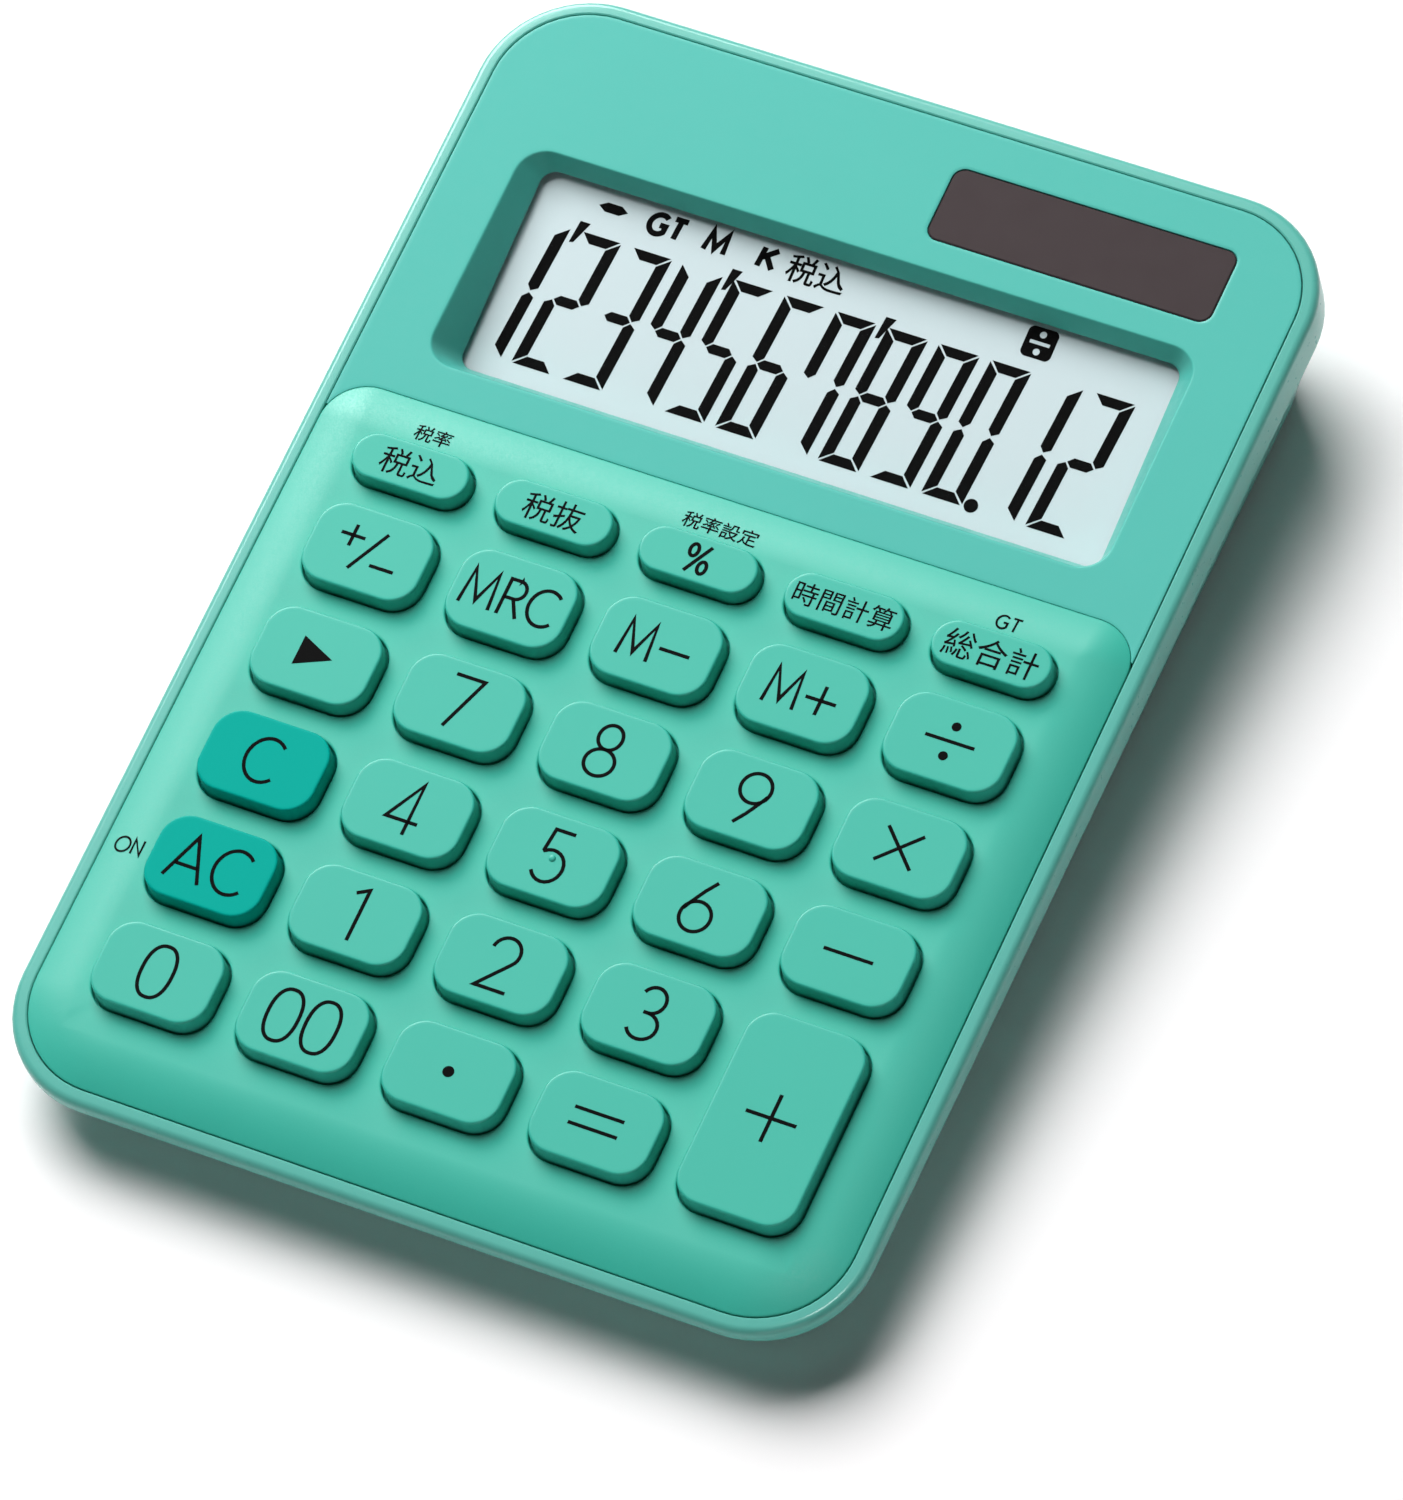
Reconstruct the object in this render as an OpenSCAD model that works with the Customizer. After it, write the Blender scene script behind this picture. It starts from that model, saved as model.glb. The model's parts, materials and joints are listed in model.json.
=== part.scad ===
// Twelve-digit desk calculator with a solar cell. A wedge-shaped rear case carries a display panel
// with a sunk liquid-crystal display, a raised keyboard panel, and twenty-nine push keys that stand
// on a sheet of rubber domes. Millimetres, +Z up, standing on its feet at z = 0, keyboard towards -Y.
// Most pieces are placed in the frame of the sloping top: x across, y up the slope, z out of it,
// with z = 0 on the display panel's face.

/* [Body] */
// Width of the body
body_w = 105; // [104.5:0.5:107]
// Length of the body along its sloping top
body_l = 149.5; // [148.5:0.5:152]
// Height of the body at its rear edge
body_h = 22.8; // [22:0.2:26]
// Slope of the top face, in degrees
tilt = 5.1; // [4.5:0.1:5.5]
// Radius of the body's corners, seen from above
corner_r = 13; // [12:0.5:14]
// Width of the rim that the rear case shows around the panels
rim_w = 1.85; // [1.6:0.05:2]
// Wall thickness of the rear case's floor
wall = 1.6; // [1.2:0.1:1.8]
// Height of the case floor above the table, which is the feet's free height
foot_h = 0.7; // [0.5:0.1:1]

/* [Keyboard] */
// Distance between key columns
col_pitch = 18.14; // [18.1:0.02:18.2]
// Distance between key rows
row_pitch = 14.02; // [13.9:0.02:14.1]
// Width of a key at its base
key_w = 14.7; // [14:0.1:14.8]
// Length of a key at its base
key_l = 10.5; // [10:0.1:10.6]
// Corner radius of a key, seen from above
key_r = 3.5; // [2.5:0.1:4.5]
// Length of the small oval keys in the first row
oval_l = 6; // [5.4:0.1:6.2]
// Height of the key tops above the keyboard panel
key_rise = 2.1; // [1.8:0.1:2.4]
// Travel of a key from rest to its stop
key_travel = 1.3; // [1:0.1:1.5]
// Clearance between a key and its hole
key_gap = 0.25; // [0.2:0.05:0.3]
// Height of the keyboard panel above the display panel
pillow_rise = 1.5; // [1.4:0.05:1.7]

/* [Display] */
// Width of the display recess at the panel's face
recess_w = 85.1; // [84.8:0.1:86]
// Length of the display recess at the panel's face
recess_l = 29.7; // [29.5:0.1:30.4]
// Width of the opening at the foot of the recess
window_w = 80.6; // [80:0.1:81]
// Length of the opening at the foot of the recess
window_l = 26; // [25.6:0.1:26.4]
// Depth of the opening's front edge below the panel
front_depth = 5.3; // [5.1:0.1:5.5]
// Depth of the opening's rear edge below the panel
rear_depth = 2.6; // [2.5:0.1:2.8]
// Width of the solar window
solar_w = 35.4; // [32:0.1:36.2]
// Length of the solar window
solar_l = 9.7; // [9:0.1:10.6]

/* [Hidden] */
slab = 1.6;                                   // thickness of both panels
seam = 0.12;                                  // gap between the rim and the panels
rim_round = 0.8;                              // size of the rim's outer bevel
bead_front = 2;                               // height of the upright band at the front
bead_rear = 6;                                // height of the upright band at the rear
tuck = 9;                                     // how much narrower the floor is than the rim
lining = 3.6;                                 // how far the case's hollow stays inside its outline
film = 0.02;                                  // thickness of the layers that a hull joins
through = 1;                                  // how far a cut runs past a face
plane_z = body_h - (body_l / 2 - rim_round) * sin(tilt);
shift_y = -(bead_rear + rim_round) * sin(tilt) / 2;
panel_w = body_w - 2 * (rim_w + seam);
panel_l = body_l - 2 * (rim_w + seam);
panel_r = corner_r - rim_w;
field_y = 12;                                 // pitch line of the first key row
keys_top_y = 19.15;                           // upper edge of the keyboard panel
keys_l = keys_top_y + panel_l / 2;
keys_y = (keys_top_y - panel_l / 2) / 2;
keys_r = 5.5;                                 // radius of the keyboard panel's upper corners
horn = 3.1;                                   // how far the display panel reaches down beside it
skirt = 2.2;                                  // width of the keyboard panel's thick edge
cap_top = pillow_rise + key_rise;
cap_bevel = 0.8;                              // height of the softened top edge of a key
skin_z = pillow_rise - slab;                  // underside of the keyboard panel
flange_z = skin_z - 0.15;                     // face of the flange that keeps a key in
flange_t = 0.8;
flange_lip = 0.4;
stem_r = 1.8;
stem_z = -1.5;                                // foot of a key's stem
board_w = 94;
board_t = 1.2;
board_z = -4.1;                               // face of the circuit board
board_r = 4;
board_top_y = 13.4;
board_bottom_y = -65;
board_l = board_top_y - board_bottom_y;
board_y = (board_top_y + board_bottom_y) / 2;
board_back = board_z - board_t;
sheet_t = 0.6;                                // thickness of the rubber sheet between its domes
sheet_inset = 0.2;
dome_top = stem_z - 0.05;
dome_base_r = 3.3;
dome_top_r = 2.2;
pad_t = 0.05;
pill_t = 0.5;
pill_z = board_z + pad_t + key_travel;         // a pill meets its pad at the end of the key's travel
recess_y = 39.25;
recess_r = 3.6;
window_y = 40.15;
window_r = 1.8;
window_z = -(front_depth + rear_depth) / 2;
lcd_tilt = atan((front_depth - rear_depth) / window_l);
glass_w = window_w + 1.4;                      // width of the liquid-crystal cell
glass_t = 1.1;                                 // thickness of each of its two plates
glass_z = -3.3;                                // underside of the lower plate
reflector_t = 0.25;
solar_x = 23.8;
solar_y = 62.7;
solar_t = 1.1;
cell_x = -20;
cell_y = 63.2;
cell_r = 5.8;
cell_h = 3.1;
contact_t = 0.2;
cell_z = -slab - contact_t - cell_h;           // underside of the button cell
post_r = 1.9;                                  // posts that the case screws bite into
post_neck = 2;                                 // slimmer end of a case post, beside the circuit board
case_shank_r = 1;
case_head_r = 1.9;
board_shank_r = 0.55;
foot_r = 4;
foot_t = 1;
label_w = 39.6;
label_l = 17.6;
label_t = 0.12;
wire_r = 0.35;
wire_low = -12.6;                              // how deep the hook-up wires run
wire_y = 8;                                    // where they turn up to the board
// Screws that close the case: x, y, and the height at which its two halves meet
screw_spots = [for (s = [-1, 1]) each [[s * 30, -67.2, -3.6], [s * 30, 15.7, -7], [s * 45, 58.2, -10]]];
foot_spots = [for (x = [-38, 38], y = [-58, 52]) [x, y]];
board_spots = [for (s = [-1, 1], y = [-61.5, -24.2, 7]) [s * 45.3, y]];
plate_green = [0.40, 0.80, 0.75];
keys_green = [0.37, 0.76, 0.69];
cap_green = [0.36, 0.79, 0.71];
clear_green = [0.02, 0.69, 0.64];

function arc(cx, cy, r, from, steps) =
    [for (i = [0:steps]) [cx + r * cos(from + 90 * i / steps), cy + r * sin(from + 90 * i / steps)]];
function rounded(w, l, r_top, r_bottom, steps = 8) = concat(
    arc(w / 2 - r_top, l / 2 - r_top, r_top, 0, steps),
    arc(r_top - w / 2, l / 2 - r_top, r_top, 90, steps),
    arc(r_bottom - w / 2, r_bottom - l / 2, r_bottom, 180, steps),
    arc(w / 2 - r_bottom, r_bottom - l / 2, r_bottom, 270, steps));
function key_x(col) = (col - 2) * col_pitch;
function key_y(row) = field_y - row * row_pitch;
oval_y = field_y - 2.42;
tall_y = (key_y(4) + key_y(5)) / 2;
// Centre, width and length of every key, as [x, y, w, l]
key_places = concat(
    [for (c = [0:4]) [key_x(c), oval_y, key_w - 0.1, oval_l]],
    [for (r = [1:3], c = [0:4]) [key_x(c), key_y(r), key_w, key_l]],
    [for (r = [4:5], c = [0:3]) [key_x(c), key_y(r), key_w, key_l]],
    [[key_x(4), tall_y, key_w, key_l + row_pitch]]);

module top_frame() translate([0, shift_y, plane_z]) rotate([tilt, 0, 0]) children();
module lcd_frame() top_frame() translate([0, window_y, window_z]) rotate([lcd_tilt, 0, 0]) children();
module plate(w, l, r, t, steps = 8) linear_extrude(t) polygon(rounded(w, l, r, r, steps));
module rod(a, b, r) {
    d = b - a;
    translate(a) rotate([0, acos(d.z / norm(d)), atan2(d.y, d.x)])
        cylinder(h = norm(d), r = r, $fn = 24);
}

module rear_case() color(plate_green) difference() {
    union() {
        difference() {
            case_outside();
            case_inside();
        }
        intersection() {
            top_frame() for (s = screw_spots) translate([s.x, s.y, -body_h]) {
                cylinder(h = body_h + s.z - post_neck, r = post_r + 1, $fn = 48);
                cylinder(h = body_h + s.z, r = post_r, $fn = 48);
            }
            case_outside();
        }
    }
    top_frame() for (s = screw_spots) translate([s.x, s.y, -body_h]) {
        cylinder(h = 2 * body_h, r = case_shank_r + 0.15, $fn = 32);
        cylinder(h = body_h + s.z - 4, r = case_head_r + 0.3, $fn = 48);
    }
    for (f = foot_spots) translate([f.x, f.y, 0]) cylinder(h = foot_t, r = foot_r + 0.3, $fn = 48);
    translate([-label_w / 2 - 0.2, -label_l / 2 - 0.2, 0])
        cube([label_w + 0.4, label_l + 0.4, foot_h + label_t]);
}
module case_outside() hull() {
    top_frame() {
        translate([0, 0, -film])
            plate(body_w - 2 * rim_round, body_l - 2 * rim_round, corner_r - rim_round, film);
        translate([0, 0, -rim_round]) plate(body_w, body_l, corner_r, film);
        translate([0, 0, -(bead_front + bead_rear) / 2])
            rotate([-atan((bead_rear - bead_front) / body_l), 0, 0]) plate(body_w, body_l, corner_r, film);
    }
    translate([0, 0, foot_h]) floor_plate(0);
}
module case_inside() {
    top_frame() translate([0, 0, -slab - 0.1]) plate(body_w - 2 * rim_w, body_l - 2 * rim_w, panel_r, 6);
    hull() {
        top_frame() translate([0, 0, -slab - 0.1])
            plate(body_w - 2 * lining, body_l - 2 * lining, corner_r - 3, film);
        translate([0, 0, foot_h + wall]) floor_plate(lining / 2);
    }
}
module floor_plate(inset)
    plate(body_w - tuck - 2 * inset, body_l - tuck - 1 - 2 * inset, corner_r - 3.5 - inset * 0.8, film);
module rubber_feet() color([0.2, 0.2, 0.2])
    for (f = foot_spots) translate([f.x, f.y, 0]) cylinder(h = foot_t, r = foot_r, $fn = 48);
module rating_label() color([0.85, 0.86, 0.86])
    translate([-label_w / 2, -label_l / 2, foot_h]) cube([label_w, label_l, label_t]);

module display_panel() color(plate_green) top_frame() difference() {
    union() {
        difference() {
            translate([0, 0, -slab]) plate(panel_w, panel_l, panel_r, slab);
            translate([0, keys_y, -slab - through]) linear_extrude(slab + 2 * through) keys_outline(seam);
            translate([-body_w, -body_l, -slab - through])
                cube([2 * body_w, body_l + keys_top_y - horn, slab + 2 * through]);
        }
        hull() recess_layers(1.4, 0);
        for (s = screw_spots) if (s.y > keys_top_y)
            translate([s.x, s.y, s.z]) cylinder(h = -s.z - 0.5, r = post_r, $fn = 40);
        translate([cell_x, cell_y, cell_z]) cylinder(h = -cell_z - slab / 2, r = cell_r + 1.4, $fn = 48);
    }
    hull() recess_layers(0, film);
    translate([solar_x, solar_y, -slab / 2]) plate(solar_w, solar_l, 1.5, slab);
    translate([solar_x, solar_y, -slab - through])
        plate(solar_w - slab, solar_l - slab, 1, slab + 2 * through);
    for (s = screw_spots) if (s.y > keys_top_y) pilot(s);
    translate([cell_x, cell_y, cell_z - through])
        cylinder(h = -slab - cell_z + through, r = cell_r + 0.2, $fn = 48);
    translate([cell_x, cell_y - 2, -slab - 0.3]) cube([cell_r + 3, 4, 0.3]);
}
module pilot(s) translate([s.x, s.y, s.z - through]) cylinder(h = 5.1, r = case_shank_r + 0.05, $fn = 32);
module keys_outline(grow) polygon(rounded(panel_w + 2 * grow, keys_l + 2 * grow, keys_r, panel_r));
module recess_layers(grow, lift) {
    translate([0, recess_y, lift - film])
        plate(recess_w + 2 * grow, recess_l + 2 * grow, recess_r + grow, film);
    translate([0, window_y, window_z]) rotate([lcd_tilt, 0, 0]) translate([0, 0, -lift])
        plate(window_w + 2 * grow, window_l + 2 * grow, window_r + grow, film);
}

module keyboard_panel() color(keys_green) top_frame() difference() {
    union() {
        difference() {
            hull() {
                keys_layer(-slab, 0);
                keys_layer(0, 0);
                keys_layer(pillow_rise * 0.5, 0.4);
                keys_layer(pillow_rise * 0.85, 1.3);
                keys_layer(pillow_rise - film, 3);
            }
            translate([0, keys_y, -slab - through])
                plate(panel_w - 2 * skirt, keys_l - 2 * skirt, keys_r - skirt, slab + through + skin_z);
        }
        for (s = screw_spots) if (s.y < keys_top_y)
            translate([s.x, s.y, s.z]) cylinder(h = skin_z + 0.5 - s.z, r = post_r, $fn = 40);
        for (s = board_spots) translate([s.x, s.y, board_z])
            cylinder(h = skin_z + 0.5 - board_z, r = 2 * board_shank_r, $fn = 32);
    }
    for (k = key_places) translate([k.x, k.y, -slab]) linear_extrude(2 * slab + pillow_rise)
        polygon(rounded(k[2] + 2 * key_gap, k[3] + 2 * key_gap, hole_r(k), hole_r(k), 6));
    for (s = screw_spots) if (s.y < keys_top_y) pilot(s);
    for (s = board_spots) translate([s.x, s.y, board_z - through])
        cylinder(h = 4, r = board_shank_r + 0.05, $fn = 24);
}
function hole_r(k) = min(key_r, k[3] / 2) + key_gap - film;
module keys_layer(z, inset) translate([0, keys_y, z]) linear_extrude(film)
    polygon(rounded(panel_w - 2 * inset, keys_l - 2 * inset, keys_r - inset * 0.6, panel_r - inset));

module lcd_window() color([0.85, 0.9, 0.9, 0.4]) lcd_frame()
    translate([0, 0, -0.8]) plate(window_w + 2.6, window_l + 2.6, 1.5, 0.8);
module lcd_glass() color([0.8, 0.88, 0.9]) lcd_frame() {
    translate([-glass_w / 2, -17.2, glass_z]) cube([glass_w, 31, glass_t]);
    translate([-glass_w / 2, -13.9, glass_z + glass_t]) cube([glass_w, 27.7, glass_t]);
}
module lcd_reflector() color([0.75, 0.78, 0.76]) lcd_frame()
    translate([0.2 - glass_w / 2, -13.8, glass_z - reflector_t]) cube([glass_w - 0.4, 27.4, reflector_t]);
module lcd_holder() color([0.9, 0.9, 0.88]) lcd_frame() difference() {
    translate([-glass_w / 2 - 1.8, -18.6, -4.4]) cube([glass_w + 3.6, 33.8, 3.6]);
    translate([-glass_w / 2 - 0.2, -17.4, glass_z - reflector_t]) cube([glass_w + 0.4, 31.4, 4]);
    translate([-25, -20, -2.6]) cube([50, 5, 4]);
}
function lcd_point(y, z) = [window_y + y * cos(lcd_tilt) - z * sin(lcd_tilt),
    window_z + y * sin(lcd_tilt) + z * cos(lcd_tilt)];
module lcd_ribbon() color([0.35, 0.3, 0.2]) top_frame() {
    t = 0.15;
    terminals = glass_z + glass_t;
    board_end = [[12.6, board_back - t], [9, board_back - t]];
    run = [lcd_point(-14.4, terminals), lcd_point(-17, terminals), each board_end];
    back = [for (i = [3:-1:0]) run[i] + [0, t]];
    translate([-24, 0, 0]) rotate([90, 0, 90]) linear_extrude(48) polygon(concat(run, back));
}
module solar_window() color([0.3, 0.26, 0.26, 0.6]) top_frame()
    translate([solar_x, solar_y, -slab / 2]) plate(solar_w - 0.1, solar_l - 0.1, 1.45, slab / 2 - 0.05);
module solar_cell() color([0.25, 0.18, 0.2]) top_frame()
    translate([solar_x - 18.6, solar_y - 5.5, -slab - solar_t]) cube([37.2, 11, solar_t]);

module main_board() color([0.2, 0.45, 0.25]) top_frame() difference() {
    translate([0, board_y, board_back]) plate(board_w, board_l, board_r, board_t);
    for (s = board_spots) translate([s.x, s.y, board_back - through])
        cylinder(h = board_t + 2 * through, r = board_shank_r + 0.2, $fn = 24);
}
module contact_pads() color([0.15, 0.15, 0.15]) top_frame()
    for (k = key_places) translate([k.x, k.y, board_z]) cylinder(h = pad_t, r = 2.2, $fn = 32);
module chip_blob() color([0.08, 0.08, 0.08]) top_frame()
    translate([0, -24, board_back - 1.2]) cylinder(h = 1.2, r1 = 3, r2 = 4.6, $fn = 48);
module capacitor() color([0.1, 0.15, 0.4]) top_frame()
    translate([20, -10, board_back - 2.05]) rotate([0, 90, 0]) cylinder(h = 7, r = 2, $fn = 40);
module dome_sheet() color([0.75, 0.76, 0.74]) top_frame() difference() {
    union() {
        translate([0, board_y, board_z])
            plate(board_w - 2 * sheet_inset, board_l - 2 * sheet_inset, board_r - sheet_inset, sheet_t);
        for (k = key_places) translate([k.x, k.y, board_z + sheet_t])
            cylinder(h = dome_top - board_z - sheet_t, r1 = dome_base_r, r2 = dome_top_r, $fn = 40);
    }
    for (k = key_places) translate([k.x, k.y, board_z - through])
        cylinder(h = pill_z + pill_t - board_z + through, r = 2.4, $fn = 40);
    for (s = board_spots) translate([s.x, s.y, board_z - through])
        cylinder(h = sheet_t + 2 * through, r = 2 * board_shank_r + 0.2, $fn = 32);
}
module carbon_pills() color([0.1, 0.1, 0.1]) top_frame()
    for (k = key_places) translate([k.x, k.y, pill_z]) cylinder(h = pill_t, r = 1.5, $fn = 32);
module board_screws() color([0.7, 0.7, 0.7]) top_frame() for (s = board_spots)
    screw([s.x, s.y, board_back], board_shank_r, 3.8, 1.2, 0.8);
module case_screws() color([0.55, 0.55, 0.55]) top_frame() for (s = screw_spots)
    screw([s.x, s.y, s.z - 4], case_shank_r, 8, case_head_r, 1.2);
module screw(spot, shank_r, shank_l, head_r, head_h) translate(spot) {
    cylinder(h = shank_l, r = shank_r, $fn = 32);
    translate([0, 0, -head_h]) cylinder(h = head_h, r = head_r, $fn = 32);
}

module button_cell() color([0.75, 0.76, 0.78]) top_frame()
    translate([cell_x, cell_y, cell_z]) cylinder(h = cell_h, r = cell_r, $fn = 48);
module cell_contact_plus() color([0.8, 0.75, 0.5]) top_frame()
    translate([cell_x, cell_y - 1.9, -slab - contact_t]) cube([cell_r + 2.9, 3.8, contact_t]);
module cell_contact_minus() color([0.8, 0.75, 0.5]) top_frame()
    translate([cell_x, cell_y, cell_z - contact_t]) cylinder(h = contact_t, r = cell_r + 1.2, $fn = 48);
module hookup_wires() color([0.8, 0.2, 0.15]) top_frame() {
    wire(9, solar_y - 4.2, -slab - solar_t);
    wire(12, solar_y - 4.2, -slab - solar_t);
    wire(cell_x, cell_y - 2, cell_z - contact_t);
    wire(cell_x + cell_r + 2.2, cell_y, -slab - contact_t);
}
module wire(x, y, z) {
    rod([x, y, z], [x, y, wire_low], wire_r);
    rod([x, y, wire_low], [x, wire_y, wire_low], wire_r);
    rod([x, wire_y, wire_low], [x, wire_y, board_back], wire_r);
    for (p = [y, wire_y]) translate([x, p, wire_low]) sphere(r = wire_r, $fn = 24);
}

module cap(place, r) top_frame() translate([place.x, place.y, 0]) {
    w = place[2];
    l = place[3];
    translate([0, 0, flange_z - flange_t]) plate(w + 2 * flange_lip, l + 2 * flange_lip, r, flange_t, 5);
    translate([0, 0, flange_z]) plate(w, l, r, cap_top - cap_bevel - flange_z, 5);
    translate([0, 0, cap_top - cap_bevel]) hull() {
        plate(w, l, r, film, 5);
        translate([0, 0, cap_bevel - film]) plate(w - 0.4, l - 0.4, r - 0.2, film, 5);
    }
    translate([0, 0, stem_z]) cylinder(h = flange_z - flange_t - stem_z + 0.1, r = stem_r, $fn = 32);
}
function place_of(col, row) = row == 0 ? key_places[col] : key_places[row < 5 ? row * 5 + col : 24 + col];
module round_key(col, row) color(cap_green) cap(place_of(col, row), key_r);
module oval_key(col) color(cap_green) cap(place_of(col, 0), oval_l / 2 - film);
module key_tax_in() oval_key(0);
module key_tax_out() oval_key(1);
module key_percent() oval_key(2);
module key_time() oval_key(3);
module key_grand_total() oval_key(4);
module key_sign() round_key(0, 1);
module key_memory_recall() round_key(1, 1);
module key_memory_minus() round_key(2, 1);
module key_memory_plus() round_key(3, 1);
module key_divide() round_key(4, 1);
module key_backspace() round_key(0, 2);
module key_7() round_key(1, 2);
module key_8() round_key(2, 2);
module key_9() round_key(3, 2);
module key_multiply() round_key(4, 2);
module key_clear() color(clear_green) cap(place_of(0, 3), key_r);
module key_4() round_key(1, 3);
module key_5() round_key(2, 3);
module key_6() round_key(3, 3);
module key_minus() round_key(4, 3);
module key_all_clear() color(clear_green) cap(place_of(0, 4), key_r);
module key_1() round_key(1, 4);
module key_2() round_key(2, 4);
module key_3() round_key(3, 4);
module key_plus() color(cap_green) cap(key_places[28], key_r);
module key_0() round_key(0, 5);
module key_00() round_key(1, 5);
module key_point() round_key(2, 5);
module key_equals() round_key(3, 5);

rear_case();
rubber_feet();
rating_label();
display_panel();
keyboard_panel();
lcd_window();
lcd_glass();
lcd_reflector();
lcd_holder();
lcd_ribbon();
solar_window();
solar_cell();
main_board();
contact_pads();
chip_blob();
capacitor();
dome_sheet();
carbon_pills();
board_screws();
button_cell();
cell_contact_plus();
cell_contact_minus();
hookup_wires();
case_screws();
key_tax_in();
key_tax_out();
key_percent();
key_time();
key_grand_total();
key_sign();
key_memory_recall();
key_memory_minus();
key_memory_plus();
key_divide();
key_backspace();
key_7();
key_8();
key_9();
key_multiply();
key_clear();
key_4();
key_5();
key_6();
key_minus();
key_all_clear();
key_1();
key_2();
key_3();
key_plus();
key_0();
key_00();
key_point();
key_equals();
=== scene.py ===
"""Looks of the twelve-digit solar desk calculator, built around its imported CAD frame.

Most pieces are drawn in the frame of the sloping top face, in millimetres: x across, y up the slope,
z out of the face, with z = 0 on the display panel. TOP turns that frame into the row frame in metres.
"""
import json
import math
import bpy
import bmesh
from mathutils import Matrix, Vector


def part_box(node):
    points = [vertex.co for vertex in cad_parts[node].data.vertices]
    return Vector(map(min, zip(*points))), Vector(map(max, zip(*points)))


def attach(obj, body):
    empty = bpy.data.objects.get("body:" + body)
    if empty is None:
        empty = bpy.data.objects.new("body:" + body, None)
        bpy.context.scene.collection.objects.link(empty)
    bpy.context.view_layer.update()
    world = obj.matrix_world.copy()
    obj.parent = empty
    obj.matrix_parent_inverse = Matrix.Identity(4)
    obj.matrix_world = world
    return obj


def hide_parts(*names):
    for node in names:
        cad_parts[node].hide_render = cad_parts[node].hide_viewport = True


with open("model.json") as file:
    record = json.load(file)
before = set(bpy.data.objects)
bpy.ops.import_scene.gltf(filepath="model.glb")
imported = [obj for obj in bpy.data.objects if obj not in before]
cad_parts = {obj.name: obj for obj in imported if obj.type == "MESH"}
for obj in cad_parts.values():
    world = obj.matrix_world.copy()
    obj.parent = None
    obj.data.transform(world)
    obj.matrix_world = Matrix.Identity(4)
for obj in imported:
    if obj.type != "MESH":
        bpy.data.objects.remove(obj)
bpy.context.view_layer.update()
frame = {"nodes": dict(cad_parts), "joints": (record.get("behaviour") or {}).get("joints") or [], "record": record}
NODES = frame["nodes"]
KEYS = sorted(n for n in NODES if n.startswith("key_"))

# ---------------------------------------------------------------- the sloping frame
PRESS = frame["joints"][0]["axis"]
TILT = math.atan2(PRESS[1], -PRESS[2])
TURN = Matrix.Rotation(TILT, 4, "X")


def turned_box(node):
    """Lowest and highest corner of a CAD node along the sloping frame's axes, in millimetres."""
    back = TURN.inverted()
    points = [back @ v.co for v in NODES[node].data.vertices]
    low = Vector(min(p[i] for p in points) for i in range(3))
    high = Vector(max(p[i] for p in points) for i in range(3))
    return low * 1000, high * 1000


KEYS_LOW, _ = turned_box("keyboard_panel")
PANEL_LOW, PANEL_HIGH = turned_box("display_panel")
ORIGIN = Vector((0, (KEYS_LOW.y + PANEL_HIGH.y) / 2, PANEL_HIGH.z))
TOP = Matrix.Scale(0.001, 4) @ TURN @ Matrix.Translation(ORIGIN)
ROW = Matrix.Scale(0.001, 4)
TO_TOP = TOP.inverted() @ ROW


def top_box(node):
    """Lowest and highest corner of a CAD node in the top frame, in millimetres."""
    low, high = turned_box(node)
    return low - ORIGIN, high - ORIGIN


# ---------------------------------------------------------------- sizes in millimetres
CASE_LOW, CASE_HIGH = (Vector(c) * 1000 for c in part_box("rear_case"))
BODY_W = CASE_HIGH.x - CASE_LOW.x
PANEL_W = PANEL_HIGH.x - PANEL_LOW.x
PANEL_TOP = top_box("display_panel")[1].y
BODY_L = 2 * PANEL_TOP + BODY_W - PANEL_W
# Corner radius of the case's outline
CORNER = 13.0
# Gap between the case's rim and the panels inside it
SEAM = 0.07
RIM = (BODY_W - PANEL_W) / 2 - SEAM
PANEL_R = CORNER - RIM
FLOOR_Z = CASE_LOW.z
PILLOW = top_box("keyboard_panel")[1].z
KEYS_TOP = top_box("keyboard_panel")[1].y
KEYS_L = KEYS_TOP + PANEL_TOP
KEYS_MID = (KEYS_TOP - PANEL_TOP) / 2
# Upper corner radius of the keyboard panel
KEYS_R = 5.5
# Width of the keyboard panel's soft edge, and of its outer part, which is free of keys
SOFT_EDGE = 6.0
PLAIN_EDGE = 3.1
# Thickness of the moulded panels and of the case's floor
SLAB = 1.6
WINDOW_LOW, WINDOW_HIGH = top_box("lcd_window")
# The display window: how far it reaches under the panel on each side, and its thickness
WINDOW_LAP = 1.3
WINDOW_T = 0.8
# The opening at the foot of the recess
WINDOW_W = WINDOW_HIGH.x - WINDOW_LOW.x - 2 * WINDOW_LAP
WINDOW_L = 26.0
WINDOW_Y = 40.15
WINDOW_R = 1.9
WINDOW_SLOPE = (WINDOW_HIGH.z - WINDOW_LOW.z - WINDOW_T) / (WINDOW_HIGH.y - WINDOW_LOW.y)
LCD_TILT = math.atan(WINDOW_SLOPE)
WINDOW_Z = (WINDOW_LOW.z + WINDOW_HIGH.z) / 2 + WINDOW_T / 2 / math.cos(LCD_TILT)
# The recess at the panel's face
RECESS_W, RECESS_L, RECESS_Y = 85.1, 29.7, 39.25
RECESS_R = 3.6
SOLAR_LOW, SOLAR_HIGH = top_box("solar_window")
SOLAR_MID = (SOLAR_LOW + SOLAR_HIGH) / 2
# Corner radius of the solar window, and the gap round it
SOLAR_R = 1.5
SOLAR_GAP = 0.05
# Depth of the solar window's seat
PANE_T = 0.8
LCD = TOP @ Matrix.Translation((0, WINDOW_Y, WINDOW_Z)) @ Matrix.Rotation(LCD_TILT, 4, "X")


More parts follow.
